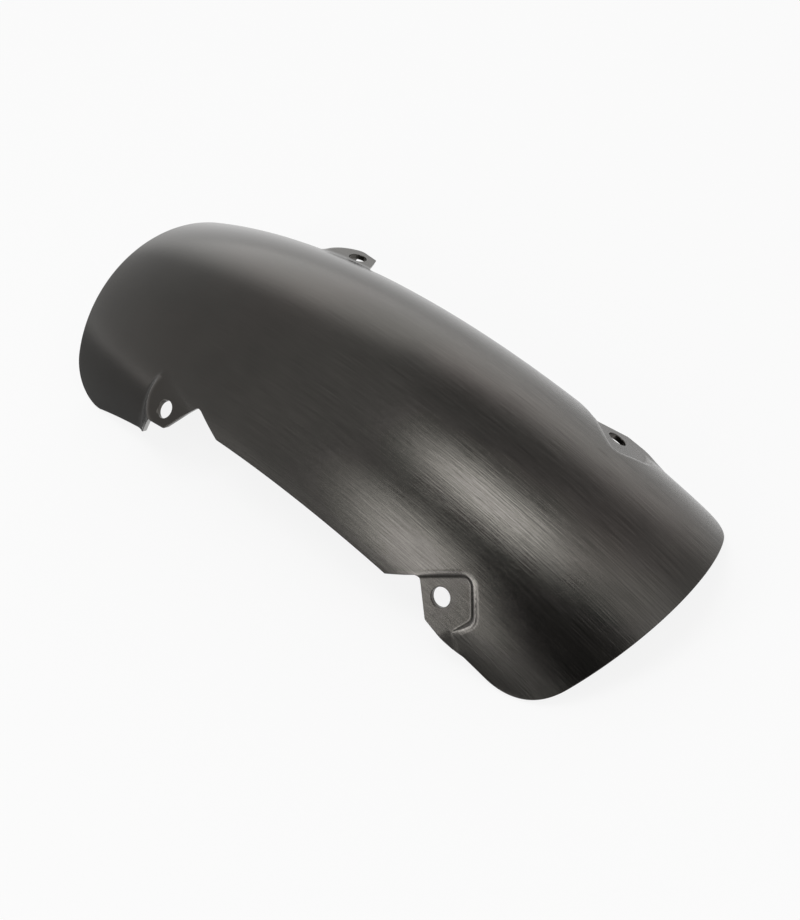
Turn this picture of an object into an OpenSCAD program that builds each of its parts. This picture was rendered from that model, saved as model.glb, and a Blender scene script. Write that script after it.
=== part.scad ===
// Motorcycle front fender pressed from one metal sheet: an arched section swept about the wheel axle,
// trimmed in side view, with four flat screw pads pressed into its skirts.
// Millimetres. X runs to the front, Y across, Z up. The fender stands on its four lower corners.

/* [Arch] */
// Radius of the crown's outer face about the wheel axle
crown_r = 330; // [320:1:340]
// Radius of the arched cross section, outer face
section_r = 54.3; // [52:0.1:57]
// Thickness of the sheet
sheet_t = 2; // [1:0.1:2.6]
// Angle at the axle from the top of the wheel back to the crown's rear end
rear_reach = 20.8; // [20:0.1:23]
// Angle at the axle from the top of the wheel forward to the crown's front end
front_reach = 28.7; // [28:0.1:31]
// Lean of the rear cut from upright, in side view
rear_cut = 6.5; // [3:0.5:9]
// Lean of the front cut from upright, in side view
front_cut = 48.5; // [45:0.5:52]

/* [Skirts] */
// Drop of the middle skirt's lower edge below the crown, towards the axle
mid_drop = 26.9; // [26:0.1:28]
// Drop of the rear skirt's lower edge below the crown
rear_drop = 40.7; // [39:0.1:42]
// Drop of the front skirt's lower edge below the crown
front_drop = 30; // [29.2:0.1:31]
// Rounding of the two lower rear corners, in side view
rear_corner_r = 15.5; // [10:0.5:18]
// Rounding of the two lower front corners, in side view
front_corner_r = 25; // [15:0.5:30]
// Rounding inside the notches in front of the rear pads and behind the front pads
notch_r = 2; // [1:0.1:2.5]
// Rounding of the pads' free corners
tab_r = 1.5; // [0.5:0.1:2]
// Tilt from level of the cut that trims the skirts and pads, so that it runs about square through the sheet
trim_tilt = 30; // [22:1:36]

/* [Screw pads] */
// Diameter of the screw holes
hole_d = 6.8; // [5:0.1:7.5]
// Slope of the pressed walls round the pads, from the pad's face
press_slope = 45; // [42:1:50]

/* [Rear pads] */
// Rear hole centre, behind the axle
rear_hole_back = 40.6; // [40:0.1:41.5]
// Rear hole centre, out from the middle of the fender
rear_hole_side = 48.4; // [48:0.1:49]
// Rear hole centre, above the axle
rear_hole_up = 302.5; // [302:0.1:303]
// Lean of the rear pad's face out to its side
rear_pad_lean = 32; // [30:0.5:34]
// Turn of the rear pad's face towards the front
rear_pad_turn = 3; // [0:0.5:5]
// Radius of the rear pad's round crest
crest_r = 12.5; // [11.5:0.1:13.5]
// Middle of the crest, ahead of the hole
crest_ahead = 1.5; // [1:0.1:2.5]
// Middle of the crest, above the hole along the pad's face
crest_above = 4; // [3:0.1:5]

/* [Front pads] */
// Front hole centre, ahead of the axle
front_hole_ahead = 98.1; // [97:0.1:99]
// Front hole centre, out from the middle of the fender
front_hole_side = 42; // [41.8:0.1:42.6]
// Front hole centre, above the axle
front_hole_up = 292.9; // [292.6:0.1:293.4]
// Lean of the front pad's face out to its side
front_pad_lean = 46; // [44:0.5:48]
// Turn of the front pad's face towards the front
front_pad_turn = 22; // [20:0.5:24]
// Upper front corner of the pad's floor, ahead of the hole
floor_ahead = 4; // [3:0.1:5]
// Upper front corner of the pad's floor, above the hole along its face
floor_above = 13; // [12:0.1:14]
// Length of the floor's front side
floor_front_len = 15.3; // [13:0.1:17]
// Reach of the floor's top side back from its corner, to the notch
floor_reach = 18.5; // [17.5:0.5:19.5]
// Rounding of the floor's corners
floor_corner_r = 3; // [2:0.1:4]

/* [Hidden] */
$fn = 96;
far = 200;
rear_r = crown_r - rear_drop;
mid_r = crown_r - mid_drop;
front_r = crown_r - front_drop;
sweep_r = crown_r - section_r;

// Direction into the sheet from the rear cut and from the front cut, in side view
rear_in = [cos(rear_cut), sin(rear_cut)];
front_in = [-cos(front_cut), sin(front_cut)];
rear_tip = crown_r * [-sin(rear_reach), cos(rear_reach)];
front_tip = crown_r * [sin(front_reach), cos(front_reach)];
rear_corner = corner_centre(rear_in, rear_tip, rear_r, rear_corner_r, 1);
front_corner = corner_centre(front_in, front_tip, front_r, front_corner_r, -1);

// Lowest point of the corners above the axle, and the middle of the length
rest_z = min(lowest(front_corner, front_corner_r), lowest(rear_corner, rear_corner_r));
middle_x = (rear_tip.x + front_tip.x) / 2;

// The notch and the free edges at each pad, on the outer face: along, above the axle, out to the side, rounding
rear_pad_low = rear_hole_up - 3.45;
rear_notch = [
    edge_point(-59.5, sqrt(rear_r ^ 2 - 59.5 ^ 2), 0),
    rear_pad_point(-rear_hole_back - 5, rear_pad_low, 0.5),
    rear_pad_point(-rear_hole_back + 4, rear_pad_low, tab_r),
    edge_point(-23.9, 308.4, notch_r),
    edge_point(-11.2, sqrt(mid_r ^ 2 - 11.2 ^ 2), 0),
];
front_notch = [
    edge_point(76.2, sqrt(mid_r ^ 2 - 76.2 ^ 2), 0),
    edge_point(88.7, 297.2, notch_r),
    front_pad_point(95.5, 286.3, tab_r),
    edge_point(107, sqrt(front_r ^ 2 - 107 ^ 2), 0),
];

function unit(v) = v / norm(v);

// A point of the arch's or of a pad's outer face, given in side view; the last value is a corner's rounding
function edge_point(x, up, r) =
    [x, up, sqrt(section_r ^ 2 - (norm([x, up]) - sweep_r) ^ 2), r];
function pad_point(x, up, r, hole, turn, lean) =
    [x, up, hole.z - (sin(turn) * (x - hole.x) + cos(turn) * (up - hole.y)) / tan(lean), r];
function rear_pad_point(x, up, r) =
    pad_point(x, up, r, [-rear_hole_back, rear_hole_up, rear_hole_side], rear_pad_turn, rear_pad_lean);
function front_pad_point(x, up, r) =
    pad_point(x, up, r, [front_hole_ahead, front_hole_up, front_hole_side], front_pad_turn, front_pad_lean);

// The same point seen along the tilted cut
function seen(p) = [p.x, p.y * cos(trim_tilt) - p.z * sin(trim_tilt), p[3]];
function seen_line(points) = [for (p = points) seen(edge_point(p.x, p.y, 0))];

// Centre of the arc that rounds the corner between a straight cut and an edge of radius edge_r
function corner_centre(inward, tip, edge_r, r, side) =
    let (
        along = inward * tip + r,
        up = sqrt((edge_r + r) ^ 2 - along ^ 2)
    )
    along * inward + up * side * [-inward.y, inward.x];

// Lowest point of a rounded corner: the inner face ends lower than the outer one by the tilt of the cut
function lowest(centre, r) =
    let (
        edge = edge_point(centre.x, centre.y - r, 0),
        round = asin(edge.z / section_r)
    )
    edge.y - sheet_t * sin(trim_tilt) / sin(round + trim_tilt);

// Points of the arc of radius r that rounds the corner at b between a and c
function rounded_corner(a, b, c, r) =
    let (
        u = unit(a - b),
        v = unit(c - b),
        half = acos(u * v) / 2,
        m = b + unit(u + v) * r / sin(half),
        from = b + u * r / tan(half) - m,
        to = b + v * r / tan(half) - m,
        start = atan2(from.y, from.x),
        turn = atan2(from.x * to.y - from.y * to.x, from * to)
    )
    [for (i = [0:6]) m + r * [cos(start + turn * i / 6), sin(start + turn * i / 6)]];

// Rounded line through corners given as [x, y, rounding], without its two end points
function rounded_line(p) = [
    for (i = [1:len(p) - 2])
        each rounded_corner(flat(p[i - 1]), flat(p[i]), flat(p[i + 1]), p[i].z)
];

// Points of an arc about centre from one direction to another, in steps of about three degrees
function arc(centre, r, from, to) =
    let (
        start = atan2(from.y, from.x),
        turn = atan2(from.x * to.y - from.y * to.x, from * to),
        n = ceil(abs(turn) / 3)
    )
    [for (i = [0:n]) centre + r * [cos(start + turn * i / n), sin(start + turn * i / n)]];

function flat(p) = [p.x, p.y];

// Side view of the straight cuts at both ends of the crown
module end_cuts() {
    low = rear_r - 25;
    above = 12;
    polygon([
        along_cut(rear_tip, rear_cut, above),
        along_cut(rear_tip, rear_cut, low - rear_tip.y),
        along_cut(front_tip, -front_cut, low - front_tip.y),
        along_cut(front_tip, -front_cut, above),
        [0, crown_r + 2 * above]
    ]);
}

// Point on a cut through tip, that much higher up
function along_cut(tip, lean, rise) = tip + rise * [-tan(lean), 1];

// What lies below the edge of the skirt and its pads, seen along the tilted cut
module trimmings() {
    axle = [0, 0];
    low = rear_r * cos(trim_tilt) - 2 * section_r;
    line = concat(
        seen_line(arc(rear_corner, rear_corner_r, -rear_in, -rear_corner)),
        seen_line(arc(axle, rear_r, rear_corner, flat(rear_notch[0]))),
        rounded_line([for (p = rear_notch) seen(p)]),
        seen_line(arc(axle, mid_r, flat(rear_notch[len(rear_notch) - 1]), flat(front_notch[0]))),
        rounded_line([for (p = front_notch) seen(p)]),
        seen_line(arc(axle, front_r, flat(front_notch[len(front_notch) - 1]), front_corner)),
        seen_line(arc(front_corner, front_corner_r, -front_corner, -front_in))
    );
    polygon(concat(
        [[-far, low], [-far, line[0].y]],
        [for (p = line) flat(p)],
        [[far, line[len(line) - 1].y], [far, low]]
    ));
}

// The tilted cut, on the right side; it reaches through the sheet and not to the left side
module trimming_cut() {
    reach = section_r * cos(trim_tilt) + mid_r * sin(trim_tilt);
    rotate([90 - trim_tilt, 0, 0])
        translate([0, 0, reach - section_r])
            linear_extrude(height = 2 * section_r)
                trimmings();
}

// The arch as a solid ring about the axle; inset is the depth below the outer face
module ring(inset) {
    rotate([90, 0, 0])
        rotate_extrude()
            translate([sweep_r, 0])
                circle(r = section_r - inset);
}

// Puts its children on a pad: X ahead, Y up the pad's face, Z out of the face, origin at the hole
module on_pad(x, side, up, turn, lean) {
    translate([x, -side, up])
        rotate([0, turn, 0])
            rotate([lean, 0, 0])
                children();
}

module on_rear_pad() {
    on_pad(-rear_hole_back, rear_hole_side, rear_hole_up, rear_pad_turn, rear_pad_lean)
        children();
}

module on_front_pad() {
    on_pad(front_hole_ahead, front_hole_side, front_hole_up, front_pad_turn, front_pad_lean)
        children();
}

// Both sides of the fender
module both_sides() {
    children();
    mirror([0, 1, 0])
        children();
}

// Rear pad: a round boss with a flat face, standing out of the skirt at its rear
module rear_boss(inset) {
    depth = 19;
    crest = crest_r - inset * tan(press_slope / 2);
    on_rear_pad()
        translate([crest_ahead, crest_above, -inset - depth])
            cylinder(h = depth, r1 = crest + depth / tan(press_slope), r2 = crest);
}

// Front pad: outwards from its flat floor (way 1) what is pressed away, inwards (way -1) what fills in.
// The filling starts a little above the floor, so that the floor's face is cut and not just met.
// The floor has a round corner at its top and one at its lower front, and runs out past the notch.
module front_floor(inset, way) {
    height = 6;
    lap = way > 0 ? 0 : 0.5;
    corner = floor_corner_r + way * inset * tan(press_slope / 2);
    near_ring = floor_outline(corner - lap / tan(press_slope));
    far_ring = floor_outline(corner + height / tan(press_slope));
    n = len(near_ring);
    points = concat(
        [for (p = near_ring) [p.x, p.y, lap - inset]],
        [for (p = far_ring) [p.x, p.y, way * height - inset]]
    );
    near_face = [for (i = [0:n - 1]) i];
    far_face = [for (i = [n - 1:-1:0]) n + i];
    sides = [for (i = [0:n - 1]) each [[i, n + i, (i + 1) % n], [(i + 1) % n, n + i, n + (i + 1) % n]]];
    faces = concat([near_face, far_face], sides);
    on_front_pad()
        polyhedron(points = points, faces = way < 0 ? faces : [for (f = faces) [for (k = [len(f) - 1:-1:0]) f[k]]]);
}

// Outline of the floor, grown to corners of radius r about fixed middles, clockwise
function floor_outline(r) =
    let (
        top_way = [-cos(43), -sin(43)],
        front_way = [sin(38), -cos(38)],
        top = [floor_ahead, floor_above] + floor_corner_r * (top_way + front_way),
        lower = top + (floor_front_len - 2 * floor_corner_r) * front_way
    )
    concat(
        [top + floor_reach * top_way + r * [-sin(43), cos(43)]],
        [for (i = [0:6]) top + r * [cos(133 - 95 * i / 6), sin(133 - 95 * i / 6)]],
        [for (i = [0:6]) lower + r * [cos(38 - 57 * i / 6), sin(38 - 57 * i / 6)]],
        [
            lower + [-5, -14] + r * [cos(19), -sin(19)],
            lower + [-5 - r, -14 - r],
            top + floor_reach * top_way + r * [-1, -1]
        ]
    );

module pressed_body(inset) {
    difference() {
        union() {
            ring(inset);
            both_sides() {
                rear_boss(inset);
                front_floor(inset, -1);
            }
        }
        both_sides()
            front_floor(inset, 1);
    }
}

module screw_hole() {
    cylinder(h = 16, r = hole_d / 2, center = true);
}

module fender() {
    color([0.2, 0.2, 0.2])
        translate([-middle_x, 0, -rest_z])
            difference() {
                intersection() {
                    pressed_body(0);
                    rotate([90, 0, 0])
                        linear_extrude(height = far, center = true)
                            end_cuts();
                }
                pressed_body(sheet_t);
                both_sides() {
                    trimming_cut();
                    on_rear_pad()
                        screw_hole();
                    on_front_pad()
                        screw_hole();
                }
            }
}

fender();
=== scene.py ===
"""Looks of the motorcycle front fender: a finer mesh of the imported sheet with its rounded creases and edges,
brushed dark metal, a pale floor, soft lamps and a camera at the photograph's angle."""

import math

import bpy
import numpy as np
from mathutils import Matrix, Vector
from mathutils.geometry import delaunay_2d_cdt
from mathutils.kdtree import KDTree


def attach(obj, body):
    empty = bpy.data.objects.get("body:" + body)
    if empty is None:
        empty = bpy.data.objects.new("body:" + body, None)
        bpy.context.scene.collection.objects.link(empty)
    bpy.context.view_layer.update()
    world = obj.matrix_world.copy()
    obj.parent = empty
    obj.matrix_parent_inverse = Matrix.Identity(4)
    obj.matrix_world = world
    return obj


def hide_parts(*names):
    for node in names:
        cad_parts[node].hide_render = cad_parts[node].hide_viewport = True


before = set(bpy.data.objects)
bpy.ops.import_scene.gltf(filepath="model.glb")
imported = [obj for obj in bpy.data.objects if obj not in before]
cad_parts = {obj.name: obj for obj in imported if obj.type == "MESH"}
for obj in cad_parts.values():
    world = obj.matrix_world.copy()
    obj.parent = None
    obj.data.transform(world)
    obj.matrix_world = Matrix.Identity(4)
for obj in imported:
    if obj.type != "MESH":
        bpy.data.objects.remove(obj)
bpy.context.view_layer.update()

# The sheet, in millimetres, with the wheel axle at the origin as in part.scad
CROWN_R = 330.0
SECTION_R = 54.3
SWEEP_R = CROWN_R - SECTION_R
SHEET_T = 2.0
REAR_REACH, FRONT_REACH = math.radians(20.8), math.radians(28.7)
REAR_CUT, FRONT_CUT = math.radians(6.5), math.radians(48.5)
MID_R, REAR_R, FRONT_R = CROWN_R - 26.9, CROWN_R - 40.7, CROWN_R - 30.0
REAR_CORNER_R, FRONT_CORNER_R = 15.5, 25.0
REAR_NOTCH_R, FRONT_NOTCH_R, TAB_R, WALL_FOOT_R = 3.6, 2.4, 1.5, 0.5
TRIM_TILT = math.radians(30)
HOLE_R = 3.4

# The screw pads: hole centre (ahead, out to the side, up), lean to the side, turn to the front
REAR_PAD = dict(x=-40.6, side=48.4, up=302.5, lean=32.0, turn=3.0)
FRONT_PAD = dict(x=98.1, side=42.0, up=292.9, lean=46.0, turn=22.0)
PRESS_SLOPE = math.radians(45)

# The rear pad's round crest, and the front pad's floor with the ways that its top, front and lower sides run
CREST_R, CREST_AHEAD, CREST_ABOVE = 12.5, 1.5, 4.0
FLOOR_AHEAD, FLOOR_ABOVE, FLOOR_FRONT_LEN, FLOOR_CORNER_R, FLOOR_REACH = 4.0, 13.0, 15.3, 3.0, 18.5
FLOOR_TOP_WAY, FLOOR_FRONT_WAY, FLOOR_LOW_WAY = math.radians(43), math.radians(38), (-5.0, -14.0)
FLOOR_OPEN = 60

# Only the sheet behind the first of these is pressed into rear pads, and only that ahead of the second into
# front pads
REAR_PADS_END, FRONT_PADS_START = 20, 60

# Roundings that the press leaves, and the broken edges of the cut sheet
CREST_SOFT, PAD_SOFT, FLOOR_SOFT, SHOULDER_SOFT = 0.7, 1.3, 0.6, 1.9
EDGE_R = 0.3

# The inner wall of the front pad runs out in a gentle slope for some way, over the part ahead of FADE_START
FADE_SLOPE, FADE_REACH, FADE_SOFT, FADE_END_SOFT = math.tan(math.radians(8)), 7.0, 2, 1
FADE_START, FADE_FULL = -6, -2

# The mesh: spacing over the plain sheet and over the pads, half the width of the square round a hole that is
# searched for bent sheet, how far a point has to be off the plain arch to count as bent, and the gaps that are
# kept between the fine points and others
COARSE, FINE, PAD_REACH, BENT = 2.6, 0.5, 24, 0.001
FINE_MARGIN, COARSE_GAP, EDGE_GAP, HOLE_GAP = 1.6, 0.6 * COARSE, 0.4, 0.3
LINE_STEP, HOLE_POINTS, FRONT_CUT_POINTS, REAR_CUT_POINTS = 0.8, 48, 110, 130

# Rubbed finish, with a painted highlight on the bends: width of its line along a bend, and how much of the rubbed
# finish a cut edge's rounding has
WEAR_AND_HIGHLIGHT_WIDTH, EDGE_WEAR = 0.8, 0.5

# Starting distances for the searches along lines: off the outer face, beside the sheet and off a pad
CLEAR, BESIDE, PAD_CLEAR = 9, 75.0, 4


def direction(angle):
    return np.array([math.cos(angle), math.sin(angle)])


def unit(v):
    return v / np.linalg.norm(v, axis=-1, keepdims=True)


# Side view of the trimmed sheet: points are (along, above the axle)
REAR_TIP = CROWN_R * np.array([-math.sin(REAR_REACH), math.cos(REAR_REACH)])
FRONT_TIP = CROWN_R * np.array([math.sin(FRONT_REACH), math.cos(FRONT_REACH)])
REAR_IN = direction(REAR_CUT)
FRONT_IN = np.array([-math.cos(FRONT_CUT), math.sin(FRONT_CUT)])


def corner_centre(inward, tip, edge_r, r, side):
    """Centre of the arc that rounds the corner between a straight cut and an edge of radius edge_r."""
    along = inward @ tip + r
    up = math.sqrt((edge_r + r) ** 2 - along**2)
    return along * inward + up * side * np.array([-inward[1], inward[0]])


def arc(centre, r, start, end, step):
    """Points of an arc about centre, from one direction to another."""
    a = math.atan2(start[1], start[0])
    turn = math.atan2(start[0] * end[1] - start[1] * end[0], start @ end)
    n = max(2, math.ceil(abs(turn) * r / step))
    return [centre + r * direction(a + turn * i / n) for i in range(n + 1)]


def rounded_line(points, step):
    """Line through (along, above, rounding) corners, with points along it."""
    line = [np.array(points[0][:2])]
    for before, here, after in zip(points, points[1:], points[2:]):
        b = np.array(here[:2])
        u, v = unit(np.array(before[:2]) - b), unit(np.array(after[:2]) - b)
        half = math.acos(u @ v) / 2
        middle = b + unit(u + v) * here[2] / math.sin(half)
        leg = here[2] / math.tan(half)
        line += arc(middle, here[2], b + u * leg - middle, b + v * leg - middle, step / 3)
    line.append(np.array(points[-1][:2]))
    full = [line[0]]
    for p in line[1:]:
        n = max(1, math.ceil(np.linalg.norm(p - full[-1]) / step))
        full += [full[-1] + (p - full[-1]) * i / n for i in range(1, n + 1)]
    return full


def skirt_end(along, r):
    """Where the lower edge of radius r stops at a notch, without rounding."""
    return along, math.sqrt(r**2 - along**2), 0


def lower_line(step=LINE_STEP):
    """The skirt's lower edge in side view, from the rear cut to the front cut."""
    rear = corner_centre(REAR_IN, REAR_TIP, REAR_R, REAR_CORNER_R, 1)
    front = corner_centre(FRONT_IN, FRONT_TIP, FRONT_R, FRONT_CORNER_R, -1)
    pad_x, pad_low = REAR_PAD["x"], REAR_PAD["up"] - 3.45
    rear_notch = [
        skirt_end(-59.5, REAR_R),
        (pad_x - 5, pad_low, WALL_FOOT_R),
        (pad_x + 4, pad_low, TAB_R),
        (-23.9, 308.4, REAR_NOTCH_R),
        skirt_end(-11.2, MID_R),
    ]
    front_notch = [
        skirt_end(76.2, MID_R),
        (88.7, 297.2, FRONT_NOTCH_R),
        (95.5, 286.3, TAB_R),
        skirt_end(107.0, FRONT_R),
    ]
    axle = np.zeros(2)
    line = arc(rear, REAR_CORNER_R, -REAR_IN, -rear, step)
    line += arc(axle, REAR_R, rear, np.array(rear_notch[0][:2]), step)[1:]
    line += rounded_line(rear_notch, step)[1:]
    line += arc(axle, MID_R, np.array(rear_notch[-1][:2]), np.array(front_notch[0][:2]), step)[1:]
    line += rounded_line(front_notch, step)[1:]
    line += arc(axle, FRONT_R, np.array(front_notch[-1][:2]), front, step)[1:]
    line += arc(front, FRONT_CORNER_R, -front, -FRONT_IN, step)[1:]
    return np.array(line)


# The pressed form, as a field that is negative inside and zero on the face at a depth below the outer one
def soft_min(a, b, r):
    return np.minimum(a, b) - np.maximum(r - np.abs(a - b), 0) ** 2 / (4 * np.maximum(r, 1e-9))


def soft_max(a, b, r):
    return -soft_min(-a, -b, r)


def ramp(d, r):
    """Zero below -r, d above r, and a smooth bend between."""
    return np.where(d < -r, 0, np.where(d > r, d, (d + r) ** 2 / (4 * r)))


def pad_axes(pad, side):
    """Hole centre and the pad's axes as rows: ahead, up its face, out of its face. side is -1 for the right."""
    lean, turn = math.radians(pad["lean"]), math.radians(pad["turn"])
    out = np.array([math.cos(lean) * math.sin(turn), side * math.sin(lean), math.cos(lean) * math.cos(turn)])
    ahead = np.array([math.cos(turn), 0, -math.sin(turn)])
    up = np.cross(out, ahead) * -side
    return np.array([pad["x"], side * pad["side"], pad["up"]]), np.array([ahead, up, out])


def in_pad(pad, p):
    """Points in the axes of the nearer pad of that kind, from its hole: ahead, up its face, out of its face."""
    centre, axes = pad_axes(pad, -1)
    right = np.stack([p[:, 0], -np.abs(p[:, 1]), p[:, 2]], 1)
    return axes @ (right - centre).T


def rise(p, inset=0.0):
    """How far points are above the plain arch at a depth below the outer face."""
    return np.hypot(np.hypot(p[:, 0], p[:, 2]) - SWEEP_R, p[:, 1]) - (SECTION_R - inset)


def floor_distance(x, y):
    """Distance to the outline of the front pad's floor in its face, negative inside; its far ends are open."""
    top_way = -direction(FLOOR_TOP_WAY)
    front_way = np.array([math.sin(FLOOR_FRONT_WAY), -math.cos(FLOOR_FRONT_WAY)])
    top = np.array([FLOOR_AHEAD, FLOOR_ABOVE]) + FLOOR_CORNER_R * (top_way + front_way)
    lower = top + (FLOOR_FRONT_LEN - 2 * FLOOR_CORNER_R) * front_way
    back = top + FLOOR_REACH * top_way
    chain = [back + (0, -FLOOR_OPEN), back, top, lower, lower + FLOOR_OPEN * unit(np.array(FLOOR_LOW_WAY))]
    reach = np.full(x.shape, 1e9)
    inside = np.full(x.shape, True)
    for a, b in zip(chain, chain[1:]):
        way = unit(b - a)
        t = np.clip((x - a[0]) * way[0] + (y - a[1]) * way[1], 0, np.linalg.norm(b - a))
        reach = np.minimum(reach, np.hypot(x - a[0] - way[0] * t, y - a[1] - way[1] * t))
        inside &= (x - a[0]) * way[1] - (y - a[1]) * way[0] > 0
    return np.where(inside, -reach, reach) - FLOOR_CORNER_R


def pressed(p, inset):
    """The field at points p, where inset is the depth below the outer face."""
    field = rise(p, inset)
    slope, turn_in = math.tan(PRESS_SLOPE), inset * math.tan(PRESS_SLOPE / 2)

    x, y, z = in_pad(REAR_PAD, p)
    wall = np.hypot(x - CREST_AHEAD, y - CREST_ABOVE) - (CREST_R - turn_in) + (z + inset) / slope
    boss = soft_max(z + inset, wall * math.sin(PRESS_SLOPE), CREST_SOFT)
    field = np.where(p[:, 0] < REAR_PADS_END, soft_min(field, boss, PAD_SOFT), field)

    x, y, z = in_pad(FRONT_PAD, p)
    d = floor_distance(x, y)
    above, below = slope * ramp(d - turn_in, FLOOR_SOFT), slope * ramp(d, FLOOR_SOFT)
    fade = FADE_SLOPE * ramp(d, FADE_SOFT) + slope * ramp(d - FADE_REACH, FADE_END_SOFT)
    below += (fade - below) * np.clip((x - FADE_START) / (FADE_FULL - FADE_START), 0, 1)
    shaped = soft_max(field, z + inset - above, np.minimum(SHOULDER_SOFT, above))
    shaped = soft_min(shaped, z + inset + below, np.minimum(SHOULDER_SOFT, below))
    return np.where(p[:, 0] > FRONT_PADS_START, shaped, field)


def bend_wear(p):
    """One along the outer bends of the pressed pads, where hands and cloths rub the finish and where the lighter
    metal is also a painted highlight, and zero away from them."""
    x, y, z = in_pad(FRONT_PAD, p)
    d = floor_distance(x, y)
    off_bend = rise(p) - z + math.tan(PRESS_SLOPE) * d
    front = np.exp(-((off_bend / WEAR_AND_HIGHLIGHT_WIDTH) ** 2)) * ((d > 0.2) & (d < 6) & (p[:, 0] > FRONT_PADS_START))

    x, y, _ = in_pad(REAR_PAD, p)
    off_crest = np.hypot(x - CREST_AHEAD, y - CREST_ABOVE) - CREST_R + 0.3
    rear = np.exp(-((off_crest / WEAR_AND_HIGHLIGHT_WIDTH) ** 2)) * ((x < 3) & (p[:, 0] < 0) & (rise(p) > 0.3))
    return np.maximum(front, rear)


def cross_in(start, way, inset, steps=40):
    """Where lines from start along way, which begins outside, first meet the face at that depth."""
    low, high = np.zeros(len(start)), np.ones(len(start))
    for _ in range(steps):
        middle = (low + high) / 2
        outside = pressed(start + way * middle[:, None], inset) > 0
        low, high = np.where(outside, middle, low), np.where(outside, high, middle)
    return start + way * high[:, None]


def on_face(uv, inset):
    """Points of the face: u is the length along the crown and v round the section, both as on the outer face."""
    phi, theta = uv[:, 0] / CROWN_R, uv[:, 1] / SECTION_R
    ahead = np.stack([np.sin(phi), np.zeros_like(phi), np.cos(phi)], 1)
    out = ahead * np.cos(theta)[:, None] + np.array([0, 1, 0]) * np.sin(theta)[:, None]
    start = ahead * SWEEP_R + out * (SECTION_R + CLEAR)
    return cross_in(start, out * (-2 * CLEAR), inset)


def to_uv(p):
    rho = np.hypot(p[:, 0], p[:, 2])
    return np.stack([np.arctan2(p[:, 0], p[:, 2]) * CROWN_R, np.arctan2(p[:, 1], rho - SWEEP_R) * SECTION_R], 1)


def normals(p, inset, step=0.03):
    sides = np.eye(3) * step
    return unit(np.stack([pressed(p + s, inset) - pressed(p - s, inset) for s in sides], 1))


def cut_line(tip, inward, lean, inset, ends, count):
    """Points of the face on a straight end cut, between two angles round the section."""
    theta = np.linspace(ends[0], ends[1], count)
    rho = SWEEP_R + (SECTION_R - inset) * np.cos(theta)
    phi = np.arcsin(inward @ tip / rho)
    phi = phi - lean if inward[0] > 0 else lean - phi
    return np.stack([rho * np.sin(phi), (SECTION_R - inset) * np.sin(theta), rho * np.cos(phi)], 1)


def outline(inset):
    """The trimmed edge of one face, as a closed loop of points. The cut through the skirts is tilted from level,
    and turns level towards the end cuts."""
    line = lower_line()
    start = np.stack([line[:, 0], np.full(len(line), -BESIDE), line[:, 1]], 1)
    right = cross_in(start, np.tile([0, BESIDE, 0], (len(line), 1)), 0)
    if inset:
        rear_share = (line[:, 0] - line[0, 0]) / REAR_CORNER_R
        front_share = (line[-1, 0] - line[:, 0]) / FRONT_CORNER_R
        tilt = TRIM_TILT * np.clip(np.minimum(rear_share, front_share), 0, 1)
        way = np.stack([np.zeros(len(line)), -np.cos(tilt), np.sin(tilt)], 1)
        right = cross_in(right + way, -3 * SHEET_T * way, inset)
    angle = to_uv(right[[0, -1]])[:, 1] / SECTION_R
    front = cut_line(FRONT_TIP, FRONT_IN, FRONT_CUT, inset, (angle[1], -angle[1]), FRONT_CUT_POINTS)[1:-1]
    rear = cut_line(REAR_TIP, REAR_IN, REAR_CUT, inset, (-angle[0], angle[0]), REAR_CUT_POINTS)[1:-1]
    left = right[::-1] * np.array([1, -1, 1])
    return np.concatenate([right, front, left, rear])


def hole_loop(pad, side, inset):
    """The rim of a screw hole on one face."""
    centre, axes = pad_axes(pad, side)
    turn = np.arange(HOLE_POINTS) * 2 * math.pi / HOLE_POINTS
    rim = centre + HOLE_R * (np.cos(turn)[:, None] * axes[0] + np.sin(turn)[:, None] * axes[1])
    return cross_in(rim + PAD_CLEAR * axes[2], np.tile(-2 * PAD_CLEAR * axes[2], (HOLE_POINTS, 1)), inset)


def shifted(uv, by):
    """A closed loop moved by a distance towards its left."""
    before, after = unit(uv - np.roll(uv, 1, 0)), unit(np.roll(uv, -1, 0) - uv)
    left = unit(np.stack([-(before + after)[:, 1], (before + after)[:, 0]], 1))
    stretch = 1 / np.maximum(0.5, (left * np.stack([-after[:, 1], after[:, 0]], 1)).sum(1))
    return uv + left * (by * stretch)[:, None]


def area(uv):
    x, y = uv.T
    return 0.5 * np.sum(x * np.roll(y, -1) - np.roll(x, -1) * y)


def within(points, loop):
    """Which points lie inside a closed loop."""
    inside = np.zeros(len(points), bool)
    for (x0, y0), (x1, y1) in zip(loop, np.roll(loop, -1, 0)):
        crosses = (y0 > points[:, 1]) != (y1 > points[:, 1])
        if y1 != y0:
            inside ^= crosses & (points[:, 0] < (x1 - x0) * (points[:, 1] - y0) / (y1 - y0) + x0)
    return inside


def lattice(low, high, spacing):
    """Points of a triangular lattice over a rectangle."""
    nx, ny = np.ceil((high - low) / spacing).astype(int) + 1
    x, y = np.meshgrid(low[0] + spacing * np.arange(nx), low[1] + spacing * np.arange(ny))
    x = x + spacing / 2 * (np.arange(ny) % 2)[:, None]
    return np.stack([x.ravel(), y.ravel()], 1)


def near_any(points, others, gap):
    """Which points lie closer than a gap to any of the others."""
    tree = KDTree(len(others))
    for i, p in enumerate(others):
        tree.insert((p[0], p[1], 0), i)
    tree.balance()
    return np.array([tree.find((p[0], p[1], 0))[2] < gap for p in points], bool)


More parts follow.
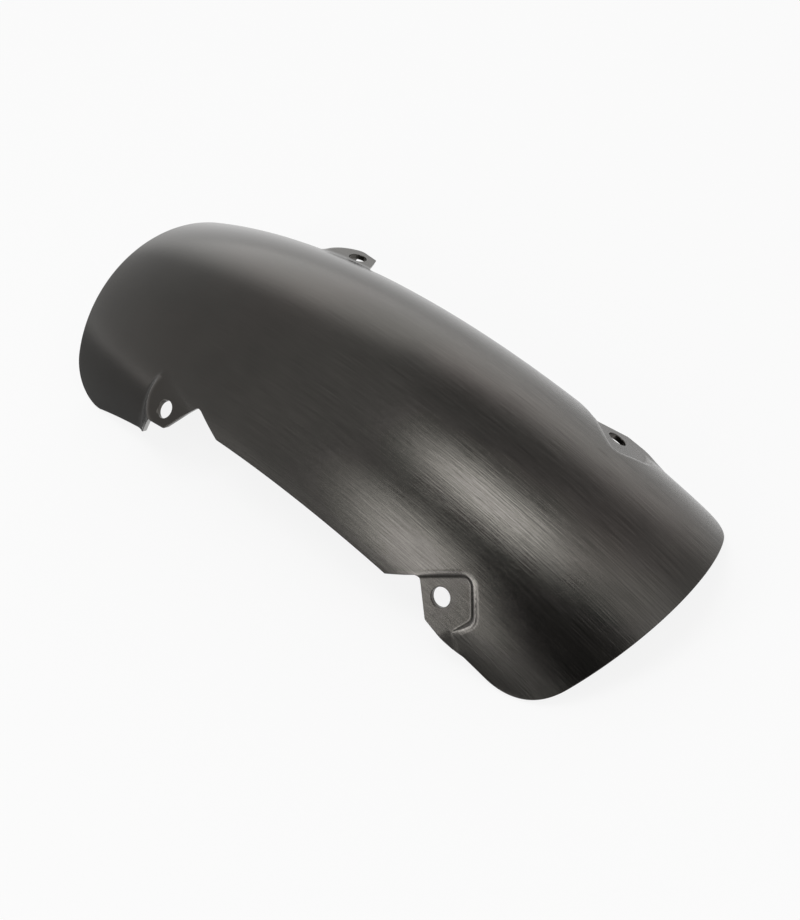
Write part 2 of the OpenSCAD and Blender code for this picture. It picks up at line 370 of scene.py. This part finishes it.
def inner_points(edge, holes, inset):
    """Points inside the outline: a coarse lattice, and a fine one where the pads bend the sheet."""
    coarse = lattice(edge.min(0), edge.max(0), COARSE)
    patches = []
    for pad in (REAR_PAD, FRONT_PAD):
        for side in (-1, 1):
            centre = to_uv(pad_axes(pad, side)[0][None])[0]
            patch = lattice(centre - PAD_REACH, centre + PAD_REACH, FINE)
            bent = np.abs(rise(on_face(patch, inset), inset)) > BENT
            patches.append(patch[near_any(patch, patch[bent], FINE_MARGIN)])
    fine = np.concatenate(patches)
    coarse = coarse[~near_any(coarse, fine, COARSE_GAP)]
    points = np.concatenate([coarse, fine])
    points = points[within(points, edge)]
    points = points[~near_any(points, edge, EDGE_GAP)]
    for hole in holes:
        points = points[~within(points, hole) & ~near_any(points, hole, HOLE_GAP)]
    return points


def face_mesh(edge, holes, inset):
    """Triangles over one face. The loops come first in the list of points, edge and then holes."""
    loops = [edge] + holes
    uv = np.concatenate(loops + [inner_points(edge, holes, inset)])
    links, at = [], 0
    for loop in loops:
        n = len(loop)
        links += [(at + i, at + (i + 1) % n) for i in range(n)]
        at += n
    found = delaunay_2d_cdt([Vector(p) for p in uv], links, [], 1, 1e-7)
    source = [s[0] for s in found[3]]
    triangles = np.array([[source[i] for i in f] for f in found[2]])
    middle = uv[triangles].mean(1)
    for hole in holes:
        keep = ~within(middle, hole)
        triangles, middle = triangles[keep], middle[keep]
    return uv, triangles


class Sheet:
    """The growing mesh: points with their normals, UVs and rubbed finish with painted highlight, and the faces
    between them.
    """

    def __init__(self):
        self.points, self.normals, self.uvs, self.wear, self.faces = [], [], [], [], []
        self.count = 0

    def add(self, points, point_normals, uvs, wear):
        """Takes points in, and returns their numbers."""
        self.points.append(points)
        self.normals.append(point_normals)
        self.uvs.append(uvs)
        self.wear.append(wear + np.zeros(len(points)))
        self.count += len(points)
        return np.arange(self.count - len(points), self.count)

    def add_face(self, inset, out):
        """The outer face with out 1, or the inner one with -1. It ends short of its sharp edges by the edges'
        rounding. For each loop, outline first and then holes, it returns the numbers, points and normals at the
        face's end, and the sharp edge in space and in UVs."""
        pads = [(pad, side) for pad in (REAR_PAD, FRONT_PAD) for side in (-1, 1)]
        edges = [outline(inset)] + [hole_loop(pad, side, inset) for pad, side in pads]
        edge_uvs = [to_uv(p) for p in edges]
        inward = [math.copysign(1, area(uv)) * (1 if k == 0 else -1) for k, uv in enumerate(edge_uvs)]
        loops = [shifted(uv, way * EDGE_R) for uv, way in zip(edge_uvs, inward)]
        uv, triangles = face_mesh(loops[0], loops[1:], inset)
        p = on_face(uv, inset)
        n = normals(p, inset) * out
        numbers = self.add(p, n, uv, bend_wear(p) if out > 0 else 0)
        for t in triangles:
            a, b, c = p[t]
            if np.dot(np.cross(b - a, c - a), n[t[0]]) < 0:
                t = t[::-1]
            self.faces.append(numbers[t].tolist())
        ends, at = [], 0
        for edge, edge_uv in zip(edges, edge_uvs):
            part = slice(at, at + len(edge))
            ends.append((numbers[part], p[part], n[part], edge, edge_uv))
            at += len(edge)
        return ends

    def add_rim(self, outer_end, inner_end):
        """The cut through the sheet along one loop, with a rounding at each of its two edges."""
        outer, outer_p, outer_n, outer_edge, outer_uv = outer_end
        inner, inner_p, inner_n, inner_edge, inner_uv = inner_end
        across = unit(inner_edge - outer_edge)
        tangent = unit(np.roll(outer_edge, -1, 0) - np.roll(outer_edge, 1, 0))
        out = unit(np.cross(tangent, across))
        out *= np.sign(((outer_edge - outer_p) * out).sum(1).sum())

        outer_stop, inner_stop = outer_edge + across * EDGE_R, inner_edge - across * EDGE_R
        outer_bend = 0.25 * outer_p + 0.5 * outer_edge + 0.25 * outer_stop
        inner_bend = 0.25 * inner_p + 0.5 * inner_edge + 0.25 * inner_stop
        rings = [
            outer,
            self.add(outer_bend, unit(outer_n + out), outer_uv, EDGE_WEAR),
            self.add(outer_stop, out, outer_uv, 0),
            self.add(inner_stop, out, inner_uv, 0),
            self.add(inner_bend, unit(inner_n + out), inner_uv, EDGE_WEAR),
            inner,
        ]
        k = len(outer) // 3
        turned = np.cross(outer_p[k + 1] - outer_p[k], outer_bend[k + 1] - outer_p[k])
        order = [0, 1, 2, 3] if np.dot(turned, out[k] + outer_n[k]) > 0 else [3, 2, 1, 0]
        for one, two in zip(rings, rings[1:]):
            quads = np.stack([one, np.roll(one, -1), np.roll(two, -1), two], 1)
            self.faces += quads[:, order].tolist()

    def make(self, name):
        """The Blender mesh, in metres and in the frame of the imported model."""
        p = np.concatenate(self.points)
        origin = np.array([(REAR_TIP[0] + FRONT_TIP[0]) / 2, 0, p[:, 2].min()])
        mesh = bpy.data.meshes.new(name)
        mesh.from_pydata(((p - origin) * 0.001).tolist(), [], self.faces)
        mesh.validate()
        corners = np.zeros(len(mesh.loops), int)
        mesh.loops.foreach_get("vertex_index", corners)
        uv_layer = mesh.uv_layers.new(name="along_and_round")
        uv_layer.data.foreach_set("uv", (np.concatenate(self.uvs)[corners] * 0.001).ravel())
        mesh.polygons.foreach_set("use_smooth", [True] * len(mesh.polygons))
        mesh.normals_split_custom_set_from_vertices(np.concatenate(self.normals).tolist())
        mesh.attributes.new("wear", "FLOAT", "POINT").data.foreach_set("value", np.concatenate(self.wear))
        return mesh


# The sheet: two faces, and the rims round the outline and the holes
build = Sheet()
outer_ends, inner_ends = build.add_face(0.0, 1), build.add_face(SHEET_T, -1)
for outer_end, inner_end in zip(outer_ends, inner_ends):
    build.add_rim(outer_end, inner_end)
mesh = build.make("fender_sheet")
sheet = bpy.data.objects.new("fender_sheet", mesh)
bpy.context.scene.collection.objects.link(sheet)
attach(sheet, "root")
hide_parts("fender")


# Materials
def new_material(name):
    """A material with an empty node tree, and its output's surface socket."""
    material = bpy.data.materials.new(name)
    material.use_nodes = True
    tree = material.node_tree
    tree.nodes.clear()
    return material, tree, tree.nodes.new("ShaderNodeOutputMaterial").inputs["Surface"]


def feed(tree, socket, value):
    """Sets a socket to a number or colour, or links it to another socket."""
    if isinstance(value, bpy.types.NodeSocket):
        tree.links.new(value, socket)
    else:
        socket.default_value = value


def joined(tree, kind, a, b):
    node = tree.nodes.new("ShaderNodeMath")
    node.operation = kind
    feed(tree, node.inputs[0], a)
    feed(tree, node.inputs[1], b)
    return node.outputs[0]


def ranged(tree, value, low, high, to_low, to_high, kind="LINEAR"):
    node = tree.nodes.new("ShaderNodeMapRange")
    node.interpolation_type = kind
    for name, number in zip(("From Min", "From Max", "To Min", "To Max"), (low, high, to_low, to_high)):
        node.inputs[name].default_value = number
    tree.links.new(value, node.inputs["Value"])
    return node.outputs[0]


def blended(tree, kind, share, a, b):
    """Two colours mixed."""
    node = tree.nodes.new("ShaderNodeMix")
    node.data_type = "RGBA"
    node.blend_type = kind
    for socket, value in ((node.inputs[0], share), (node.inputs[6], a), (node.inputs[7], b)):
        feed(tree, socket, value)
    return node.outputs[2]


def brushed_metal():
    """Dark metal with fine lengthwise brush lines, faint warm clouds, and lighter metal where the sheet is marked:
    rubbed finish on the cut edges, and rubbed finish with a painted highlight on the pads' outer bends."""
    material, tree, surface = new_material("brushed_dark_metal")
    shader = tree.nodes.new("ShaderNodeBsdfPrincipled")
    tree.links.new(shader.outputs[0], surface)
    shader.inputs["Metallic"].default_value = 1.0
    place = tree.nodes.new("ShaderNodeUVMap")
    place.uv_map = "along_and_round"

    def streaks(along, across, detail, seed):
        """Noise drawn out along the crown; the scales are features per metre."""
        shape = tree.nodes.new("ShaderNodeMapping")
        shape.inputs["Scale"].default_value = (along, across, 1)
        shape.inputs["Location"].default_value = (seed, seed * 0.37, 0)
        noise = tree.nodes.new("ShaderNodeTexNoise")
        noise.inputs["Scale"].default_value = 1
        noise.inputs["Detail"].default_value = detail
        noise.inputs["Roughness"].default_value = 0.62
        tree.links.new(place.outputs[0], shape.inputs[0])
        tree.links.new(shape.outputs[0], noise.inputs["Vector"])
        return noise.outputs[0]

    fine, coarse = streaks(55, 2200, 4, 3.1), streaks(34, 1300, 3, 7.7)
    clouds, blush = streaks(16, 22, 3, 1.3), streaks(9, 13, 2, 5.9)
    fine_part, coarse_part = ranged(tree, fine, 0.3, 0.7, -0.95, 0.95), ranged(tree, coarse, 0.3, 0.7, -0.08, 0.08)
    lines = joined(tree, "ADD", fine_part, coarse_part)

    # The brushing shows more over the front half
    split = tree.nodes.new("ShaderNodeSeparateXYZ")
    tree.links.new(place.outputs[0], split.inputs[0])
    lines = joined(tree, "MULTIPLY", lines, ranged(tree, split.outputs[0], -0.05, 0.085, 0.12, 1.0))

    cool, neutral, warm = (0.08, 0.0762, 0.0703, 1), (0.0925, 0.0876, 0.0806, 1), (0.098, 0.0835, 0.0785, 1)
    metal = blended(tree, "MIX", ranged(tree, clouds, 0.35, 0.7, 0.0, 1.0), cool, neutral)
    metal = blended(tree, "MIX", ranged(tree, blush, 0.52, 0.74, 0.0, 0.4), metal, warm)
    shade = ranged(tree, lines, -0.8, 0.8, 0.75, 1.25)
    tone = tree.nodes.new("ShaderNodeCombineColor")
    for socket in tone.inputs[:3]:
        tree.links.new(shade, socket)
    metal = blended(tree, "MULTIPLY", 1.0, metal, tone.outputs[0])

    # Rubbed metal on the cut edges and on the pads' outer bends; on the bends the lighter metal is also a painted
    # highlight
    mark = tree.nodes.new("ShaderNodeAttribute")
    mark.attribute_name = "wear"
    patchy = ranged(tree, streaks(240, 240, 3, 2.2), 0.3, 0.6, 0.35, 1.0)
    rubbed_and_highlight = joined(tree, "MULTIPLY", mark.outputs["Fac"], patchy)
    metal = blended(tree, "MIX", rubbed_and_highlight, metal, (0.18, 0.17, 0.16, 1))
    tree.links.new(metal, shader.inputs["Base Color"])

    uneven = joined(tree, "ADD", lines, ranged(tree, clouds, 0.3, 0.7, -0.3, 0.3))
    tree.links.new(ranged(tree, uneven, -1, 1, 0.17, 0.23), shader.inputs["Roughness"])
    bump = tree.nodes.new("ShaderNodeBump")
    bump.inputs["Strength"].default_value = 0.38
    bump.inputs["Distance"].default_value = 0.00004
    tree.links.new(lines, bump.inputs["Height"])
    tree.links.new(bump.outputs[0], shader.inputs["Normal"])
    return material


def matt(tree, grey):
    """A plain grey diffuse shader."""
    paint = tree.nodes.new("ShaderNodeBsdfDiffuse")
    paint.inputs["Color"].default_value = (grey, grey, grey, 1)
    return paint.outputs[0]


def pale_floor():
    """White to the camera and in the metal, and still shaded by the fender."""
    material, tree, surface = new_material("pale_floor")
    path = tree.nodes.new("ShaderNodeLightPath")
    seen = joined(tree, "MAXIMUM", path.outputs["Is Camera Ray"], path.outputs["Is Glossy Ray"])
    seen = joined(tree, "MAXIMUM", seen, path.outputs["Is Transmission Ray"])
    mix = tree.nodes.new("ShaderNodeMixShader")
    tree.links.new(joined(tree, "MULTIPLY", seen, 0.86), mix.inputs[0])
    tree.links.new(matt(tree, 0.9), mix.inputs[1])
    tree.links.new(tree.nodes.new("ShaderNodeEmission").outputs[0], mix.inputs[2])
    tree.links.new(mix.outputs[0], surface)
    return material


def dark_card():
    material, tree, surface = new_material("dark_card")
    tree.links.new(matt(tree, 0.32), surface)
    return material


def stage_plane(name, size, location, material):
    bpy.ops.mesh.primitive_plane_add(size=size, location=location)
    plane = bpy.context.object
    plane.name = name
    plane.data.materials.append(material)
    return plane


mesh.materials.append(brushed_metal())
stage_plane("floor", 6, (0, 0, 0), pale_floor())

# A dark card on the floor along the near side, for the metal only
card = stage_plane("card", 1, (-0.16, -0.168, 0.0005), dark_card())
card.scale = (0.8, 0.232, 1)
card.visible_camera = card.visible_diffuse = card.visible_shadow = False

# World: a grey room with lighter and darker sides. Azimuth is from +X to +Y
world = bpy.data.worlds.new("studio")
bpy.context.scene.world = world
world.use_nodes = True
background = world.node_tree.nodes["Background"]
background.inputs["Color"].default_value = (1, 1, 1, 1)
where = world.node_tree.nodes.new("ShaderNodeTexCoord")


def toward(azimuth, elevation):
    a, e = math.radians(azimuth), math.radians(elevation)
    return Vector((math.cos(a) * math.cos(e), math.sin(a) * math.cos(e), math.sin(e)))


def patch(level, azimuth, elevation, core, rim, to):
    """The level drawn towards another one round a direction, fully within core degrees and not at all beyond
    rim."""
    tree = world.node_tree
    dot = tree.nodes.new("ShaderNodeVectorMath")
    dot.operation = "DOT_PRODUCT"
    dot.inputs[1].default_value = toward(azimuth, elevation)
    tree.links.new(where.outputs["Generated"], dot.inputs[0])
    beyond, fully = math.cos(math.radians(rim)), math.cos(math.radians(core))
    blend = tree.nodes.new("ShaderNodeMix")
    feed(tree, blend.inputs[0], ranged(tree, dot.outputs["Value"], beyond, fully, 0, 1, "SMOOTHSTEP"))
    feed(tree, blend.inputs[2], level)
    feed(tree, blend.inputs[3], to)
    return blend.outputs[0]


level = patch(0.5, 12, 60, 12, 36, 1.0)
level = patch(level, 124, 6, 20, 42, 1.65)
level = patch(level, 106, 48, 10, 25, 0.34)
level = patch(level, -76, 38, 13, 27, 0.03)
level = patch(level, -54, 59, 12, 24, 0.1)
world.node_tree.links.new(level, background.inputs["Strength"])

# Lamps: soft boxes that face the fender
LAMP_AIM, LAMP_DISTANCE = Vector((0.04, 0, 0.03)), 1.5


def lamp(name, azimuth, elevation, width, height, radiance):
    data = bpy.data.lights.new(name, "AREA")
    data.shape = "RECTANGLE"
    data.size, data.size_y = width, height
    data.energy = radiance * width * height * math.pi
    way = toward(azimuth, elevation)
    obj = bpy.data.objects.new(name, data)
    obj.rotation_euler = way.to_track_quat("Z", "Y").to_euler()
    obj.location = LAMP_AIM + way * LAMP_DISTANCE
    bpy.context.scene.collection.objects.link(obj)


lamp("top_lamp", -90, 83, 0.6, 0.6, 4.1)
lamp("side_lamp", -105, 25, 0.46, 1.0, 3.0)

# Camera: the photograph's, solved from the screw holes and the outline
EYE = (0.39458, -0.21789, 0.45219)
RIGHT, UP, BACK = (0.66080, 0.71639, -0.22388), (-0.43187, 0.60687, 0.66723), (0.61386, -0.34422, 0.71041)
FOCAL_LENGTH_PX, IMAGE_HEIGHT_PX, SENSOR_HEIGHT = 1757, 920, 36
camera_data = bpy.data.cameras.new("camera")
camera_data.sensor_fit = "VERTICAL"
camera_data.sensor_height = SENSOR_HEIGHT
camera_data.lens = FOCAL_LENGTH_PX / IMAGE_HEIGHT_PX * SENSOR_HEIGHT
camera_data.clip_start = 0.01
camera = bpy.data.objects.new("camera", camera_data)
camera.matrix_world = Matrix.Translation(EYE) @ Matrix((RIGHT, UP, BACK)).transposed().to_4x4()
bpy.context.scene.collection.objects.link(camera)
bpy.context.scene.camera = camera
bpy.context.scene.view_settings.view_transform = "Standard"
